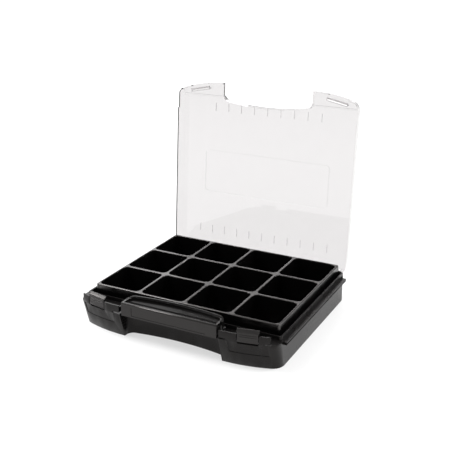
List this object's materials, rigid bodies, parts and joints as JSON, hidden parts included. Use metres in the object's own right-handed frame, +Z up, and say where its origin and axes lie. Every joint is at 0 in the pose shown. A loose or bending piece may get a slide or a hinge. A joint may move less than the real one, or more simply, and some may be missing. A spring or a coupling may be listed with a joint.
{
  "type": "parts organizer",
  "caption": "Shallow plastic case with a clear hinged lid, a front grip bar, side-hung latches and an insert tray of open compartments.",
  "frame": {"origin": "on the underside, in the middle of the closed case's plan", "axes": "+Z up, X across the case, -Y to the front with the grip bar"},
  "size_m": [0.367, 0.363, 0.3536],
  "materials": {
    "case": "satin, fine grained",
    "tray": "smooth formed sheet",
    "lid": "clear, polished",
    "pin": "plain wire"
  },
  "bodies": {
    "case": {"base_shell": "case", "insert_tray": "tray", "handle": "case", "latch_pin_left": "pin", "latch_pin_right": "pin", "hinge_pin_left": "pin", "hinge_pin_right": "pin"},
    "lid": {"lid": "lid"},
    "latch_left": {"latch_left": "case"},
    "latch_right": {"latch_right": "case"}
  },
  "joints": [
    {"name": "lid_hinge", "type": "hinge", "parent": "case", "child": "lid", "pos_m": [0, 0.155, 0.043], "axis": [1, 0, 0], "range_deg": [0, 94.2]},
    {"name": "latch_left_hinge", "type": "hinge", "parent": "case", "child": "latch_left", "pos_m": [-0.134, -0.15108, 0.047], "axis": [0.9809, -0.1943, 0], "range_deg": [-4, 100]},
    {"name": "latch_right_hinge", "type": "hinge", "parent": "case", "child": "latch_right", "pos_m": [0.134, -0.15108, 0.047], "axis": [0.9809, 0.1943, 0], "range_deg": [-4, 100]}
  ]
}
